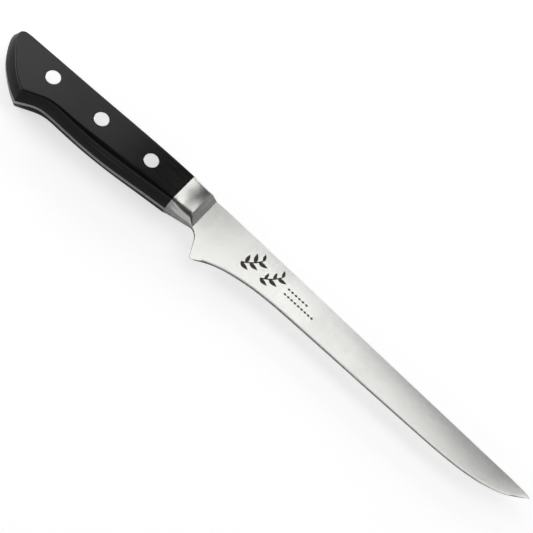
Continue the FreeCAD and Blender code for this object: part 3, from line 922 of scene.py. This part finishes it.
def build_spray():
    """Flat leaves set alternately along a stem, each leaf a pointed lens."""
    tree, entry, leave = new_node_tree(
        "Leaf Spray", Leaves="Int", Leaf_Length="Float", Leaf_Width="Float", Splay="Float",
        Stem_Width="Float", Seed="Int",
    )
    leaf = build_leaf(tree, entry)
    spaced = geo(tree, "GeometryNodeResampleCurve", {"Curve": entry["Geometry"], "Count": entry["Leaves"]})
    tangent = geo(tree, "GeometryNodeInputTangent")
    heading = geo(tree, "ShaderNodeSeparateXYZ", {"Vector": tangent.outputs["Tangent"]})
    bearing = maths(tree, "ARCTAN2", heading.outputs["Y"], heading.outputs["X"])
    number = geo(tree, "GeometryNodeInputIndex")
    odd = maths(tree, "MODULO", number.outputs["Index"], 2.0)
    sign = maths(tree, "SUBTRACT", maths(tree, "MULTIPLY", odd, 2.0), 1.0)
    jitter = random_value(tree, 0.85, 1.12, entry["Seed"])
    splay = maths(tree, "MULTIPLY", maths(tree, "MULTIPLY", sign, entry["Splay"]), jitter)
    turned = geo(tree, "ShaderNodeCombineXYZ", {"Z": maths(tree, "ADD", bearing, splay)})
    leaves = geo(
        tree, "GeometryNodeInstanceOnPoints",
        {
            "Points": spaced.outputs["Curve"], "Instance": leaf, "Rotation": turned.outputs["Vector"],
            "Scale": random_value(tree, 0.72, 1.08, entry["Seed"]),
        },
    )
    half = maths(tree, "MULTIPLY", entry["Stem Width"], 0.5)
    ends = [
        geo(tree, "ShaderNodeCombineXYZ", {"X": maths(tree, "MULTIPLY", half, sense)}).outputs["Vector"]
        for sense in (-1.0, 1.0)
    ]
    ribbon = geo(tree, "GeometryNodeCurvePrimitiveLine", {"Start": ends[0], "End": ends[1]})
    stem = geo(
        tree, "GeometryNodeCurveToMesh",
        {"Curve": entry["Geometry"], "Profile Curve": ribbon.outputs["Curve"]},
    )
    joined = geo(tree, "GeometryNodeJoinGeometry")
    tree.links.new(leaves.outputs["Instances"], joined.inputs["Geometry"])
    tree.links.new(stem.outputs["Mesh"], joined.inputs["Geometry"])
    return close_tree(tree, entry, leave, joined.outputs["Geometry"])


def build_border():
    """Small diamonds at even steps along a line."""
    tree, entry, leave = new_node_tree("Diamond Row", Diamonds="Int", Size="Float")
    diamond = geo(tree, "GeometryNodeMeshCircle", {"Vertices": 4, "Radius": entry["Size"]}, fill_type="NGON")
    spaced = geo(tree, "GeometryNodeResampleCurve", {"Curve": entry["Geometry"], "Count": entry["Diamonds"]})
    copies = geo(
        tree, "GeometryNodeInstanceOnPoints",
        {"Points": spaced.outputs["Curve"], "Instance": diamond.outputs["Mesh"], "Scale": (1.0, 0.7, 1.0)},
    )
    return close_tree(tree, entry, leave, copies.outputs["Instances"])


def make_points(name, points):
    """Object of loose points."""
    mesh = bpy.data.meshes.new(name)
    mesh.from_pydata([tuple(point) for point in points], [], [])
    piece = bpy.data.objects.new(name, mesh)
    bpy.context.collection.objects.link(piece)
    return piece


def make_curve(name, points):
    """Object of one smooth open curve led by the points, which are in metres."""
    curve = bpy.data.curves.new(name, "CURVE")
    curve.dimensions = "3D"
    curve.resolution_u = 12
    spline = curve.splines.new("NURBS")
    spline.points.add(len(points) - 1)
    for target, point in zip(spline.points, points):
        target.co = (*point, 1.0)
    spline.order_u = 3
    spline.use_endpoint_u = True
    piece = bpy.data.objects.new(name, curve)
    bpy.context.collection.objects.link(piece)
    return piece


def lay_on_steel(piece, steel, lift):
    """Lays a flat sheet on the right side of the steel and gives it a thickness."""
    surface = BVHTree.FromPolygons(
        [vert.co.copy() for vert in steel.data.vertices],
        [tuple(face.vertices) for face in steel.data.polygons],
    )
    work = bmesh.new()
    work.from_mesh(piece.data)
    bmesh.ops.remove_doubles(work, verts=work.verts, dist=MERGE)
    bmesh.ops.dissolve_degenerate(work, edges=work.edges, dist=MERGE)
    bmesh.ops.triangulate(work, faces=work.faces)
    for vert in work.verts:
        above = Vector((vert.co.x, vert.co.y, CAD_BOX[1][2]))
        spot = surface.ray_cast(above, Vector((0, 0, -1)))[0]
        if spot is None:
            raise RuntimeError("The ornament reaches past the steel")
        vert.co.z = spot.z + lift
    for face in work.faces:
        face.normal_update()
        if face.normal.z < 0:
            face.normal_flip()
    bmesh.ops.solidify(work, geom=list(work.faces), thickness=lift * 2)
    bmesh.ops.recalc_face_normals(work, faces=work.faces)
    work.to_mesh(piece.data)
    work.free()
    return piece


def tidy_shell(piece):
    """Merges doubles and turns the faces of a baked shell outwards."""
    work = bmesh.new()
    work.from_mesh(piece.data)
    bmesh.ops.remove_doubles(work, verts=work.verts, dist=MERGE)
    bmesh.ops.recalc_face_normals(work, faces=work.faces)
    work.to_mesh(piece.data)
    work.free()
    shade(piece.data)


def join(name, parts, finish):
    """One object, in one finish, of several meshes that all sit at the origin."""
    work = bmesh.new()
    for part in parts:
        work.from_mesh(part.data)
    mesh = bpy.data.meshes.new(name)
    work.to_mesh(mesh)
    work.free()
    mesh.materials.append(finish)
    mesh.polygons.foreach_set("material_index", [0] * len(mesh.polygons))
    for part in parts:
        bpy.data.objects.remove(part)
    piece = bpy.data.objects.new(name, mesh)
    bpy.context.collection.objects.link(piece)
    return piece


# ---------------------------------------------------------------- stage


def make_floor(material):
    """Level square just below the knife."""
    work = bmesh.new()
    bmesh.ops.create_grid(work, x_segments=8, y_segments=8, size=FLOOR_REACH)
    floor = finish_mesh("floor", work)
    for vert in floor.data.vertices:
        vert.co.z = CAD_BOX[0][2] - FLOOR_GAP
    floor.data.materials.append(material)


def make_light(name, spot, size, brightness):
    """Rectangular soft box: level when it hangs overhead, upright and facing the knife when it is a wall."""
    lamp = bpy.data.lights.new(name, "AREA")
    lamp.shape = "RECTANGLE"
    lamp.size, lamp.size_y = size
    lamp.energy = brightness * size[0] * size[1] * WATTS_PER_AREA
    light = bpy.data.objects.new(name, lamp)
    light.location = Vector(spot)
    facing = Vector((0, 0, -1)) if spot[2] == OVERHEAD else -Vector(spot)
    light.rotation_euler = facing.to_track_quat("-Z", "Y").to_euler()
    bpy.context.collection.objects.link(light)


def make_camera(scene):
    """Camera that looks down on the right side, from the belly side, with the tip low on the right."""
    elevation = math.radians(61.5)
    roll = math.radians(42.5)
    distance = 0.6114
    target = place(149.3, 6.69)
    forward = Vector((0, math.cos(elevation), -math.sin(elevation)))
    along = Vector((1, 0, 0))
    down = Vector((0, -math.sin(elevation), -math.cos(elevation)))
    right = math.cos(roll) * along - math.sin(roll) * down
    up = -math.sin(roll) * along - math.cos(roll) * down
    data = bpy.data.cameras.new("camera")
    data.sensor_width = 36.0
    data.lens = 94.6
    data.clip_start = 0.01
    camera = bpy.data.objects.new("camera", data)
    turn = Matrix((right, up, -forward)).transposed().to_4x4()
    camera.matrix_world = Matrix.Translation(target - forward * distance) @ turn
    bpy.context.collection.objects.link(camera)
    scene.camera = camera


# ---------------------------------------------------------------- operators


def settings(context):
    """The knife's settings."""
    return context.scene.boning_knife


class KNIFE_OT_blade(bpy.types.Operator):
    """Forge and grind the blade with its full tang"""

    bl_idname = "knife.blade"
    bl_label = "Blade"

    def execute(self, context):
        knife = settings(context)
        piece = make_blade(BLADE, knife.sizes)
        finish = steel_material(
            "satin_steel", tuple(knife.colours.steel), roughness=0.22, stretch=LINES_ACROSS,
            streak=0.05, bump=0.25
        )
        piece.data.materials.append(finish)
        settle(piece, "blade_steel", "blade")
        return {"FINISHED"}


class KNIFE_OT_scales(bpy.types.Operator):
    """Shape the two handle scales"""

    bl_idname = "knife.scales"
    bl_label = "Scales"

    def execute(self, context):
        knife = settings(context)
        finish = scale_material(tuple(knife.colours.scale))
        for node, side in (("scale_right", 1), ("scale_left", -1)):
            piece = make_scale(node.replace("scale", "handle_scale"), side, knife.sizes)
            piece.data.materials.append(finish)
            settle(piece, "scale", node)
        return {"FINISHED"}


class KNIFE_OT_bolsters(bpy.types.Operator):
    """Shape the two bolster halves"""

    bl_idname = "knife.bolsters"
    bl_label = "Bolster Halves"

    def execute(self, context):
        knife = settings(context)
        finish = steel_material(
            "polished_bolster", tuple(knife.colours.bolster), roughness=0.22, stretch=LINES_ACROSS,
            streak=0.04, bump=0.15
        )
        for node, side in (("bolster_right", 1), ("bolster_left", -1)):
            piece = make_bolster(node + "_half", side, knife.sizes)
            piece.data.materials.append(finish)
            settle(piece, "bolster_steel", node)
        return {"FINISHED"}


class KNIFE_OT_rivets(bpy.types.Operator):
    """Set the rivets, a turned half from each side"""

    bl_idname = "knife.rivets"
    bl_label = "Rivets"

    def execute(self, context):
        knife = settings(context)
        finish = steel_material(
            "rivet_steel", tuple(knife.colours.rivet), roughness=0.33, stretch=LINES_ALONG,
            streak=0.02, bump=0.1
        )
        tree = build_rivets()
        for half, side, stem, flip in RIVET_HALVES:
            names = ["rivet_%s_%s" % (where, half) for where in RIVET_PLACES]
            out = Vector((0, 0, side * (HALF_HANDLE - HEAD_INSET) * MM))
            piece = make_points("rivets_" + half, [rivet_centre(where) + out for where in RIVET_PLACES])
            low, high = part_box(names[0])
            stem_length = (high[2] - low[2]) / MM - HEAD_DEPTH - STEM_GAP
            grow(tree, piece, {
                "Head Radius": HEAD_RADIUS, "Head Depth": HEAD_DEPTH * MM,
                "Stem Radius": stem * MM, "Stem Length": stem_length * MM,
                "Chamfer": HEAD_CHAMFER * MM, "Flip": flip, "Material": finish,
            })
            tidy_shell(piece)
            settle(piece, "rivet_steel", *names)
        return {"FINISHED"}


class KNIFE_OT_mark(bpy.types.Operator):
    """Etch a plain leaf ornament and border on the right side of the blade"""

    bl_idname = "knife.mark"
    bl_label = "Etched Ornament"

    def execute(self, context):
        knife = settings(context)
        finish = mark_material(tuple(knife.colours.mark))
        spray, border = build_spray(), build_border()
        parts = []
        for index, points in enumerate(STEMS):
            stem = make_curve("stem_%d" % index, [place(x, depth) for x, depth in points])
            parts.append(grow(spray, stem, {
                "Leaves": 6, "Leaf Length": 4.6 * MM, "Leaf Width": 1.9 * MM, "Splay": math.radians(50),
                "Stem Width": 0.6 * MM, "Seed": FIRST_SEED + index, "Material": finish,
            }))
        for depth, start, end, count in DIAMOND_ROWS:
            line = make_curve("row_%d" % count, [place(start, depth), place(end, depth)])
            parts.append(grow(border, line, {"Diamonds": count, "Size": 0.85 * MM, "Material": finish}))
        piece = join("etched_ornament", parts, finish)
        lay_on_steel(piece, bpy.data.objects[BLADE], knife.sizes.mark_lift)
        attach(piece, BODY)
        return {"FINISHED"}


class KNIFE_OT_stage(bpy.types.Operator):
    """Lay the floor, hang the soft lights and set the camera"""

    bl_idname = "knife.stage"
    bl_label = "Stage"

    def execute(self, context):
        knife = settings(context)
        make_floor(floor_material(tuple(knife.colours.floor)))
        for light in LIGHTS:
            make_light(*light)
        world = bpy.data.worlds.new("studio")
        world.use_nodes = True
        tree = world.node_tree
        backdrop = tree.nodes["Background"]
        backdrop.inputs["Color"].default_value = (1, 1, 1, 1)
        ray = tree.nodes.new("ShaderNodeLightPath")
        seen = maths(tree, "MULTIPLY", ray.outputs["Is Camera Ray"], BACKDROP_SEEN)
        tree.links.new(maths(tree, "ADD", seen, ROOM_GLOW), backdrop.inputs["Strength"])
        context.scene.world = world
        make_camera(context.scene)
        context.scene.view_settings.view_transform = "Standard"
        return {"FINISHED"}


class KNIFE_PT_panel(bpy.types.Panel):
    """Buttons and settings of the knife"""

    bl_idname = "KNIFE_PT_panel"
    bl_label = "Boning Knife"
    bl_space_type = "VIEW_3D"
    bl_region_type = "UI"
    bl_category = "Knife"

    def draw(self, context):
        knife = settings(context)
        for operator in OPERATORS:
            self.layout.operator(operator.bl_idname)
        for group in (knife.sizes, knife.colours):
            box = self.layout.box()
            for label in group.bl_rna.properties.keys():
                if label not in ("rna_type", "name"):
                    box.prop(group, label)


OPERATORS = (
    KNIFE_OT_blade, KNIFE_OT_scales, KNIFE_OT_bolsters, KNIFE_OT_rivets, KNIFE_OT_mark, KNIFE_OT_stage,
)
CLASSES = (KnifeSizes, KnifeColours, KnifeSettings, *OPERATORS, KNIFE_PT_panel)


def register():
    for item in CLASSES:
        bpy.utils.register_class(item)
    bpy.types.Scene.boning_knife = bpy.props.PointerProperty(type=KnifeSettings)


def unregister():
    del bpy.types.Scene.boning_knife
    for item in reversed(CLASSES):
        bpy.utils.unregister_class(item)


def main():
    register()
    bpy.ops.knife.blade()
    bpy.ops.knife.scales()
    bpy.ops.knife.bolsters()
    bpy.ops.knife.rivets()
    bpy.ops.knife.mark()
    bpy.ops.knife.stage()


if __name__ == "__main__":
    main()
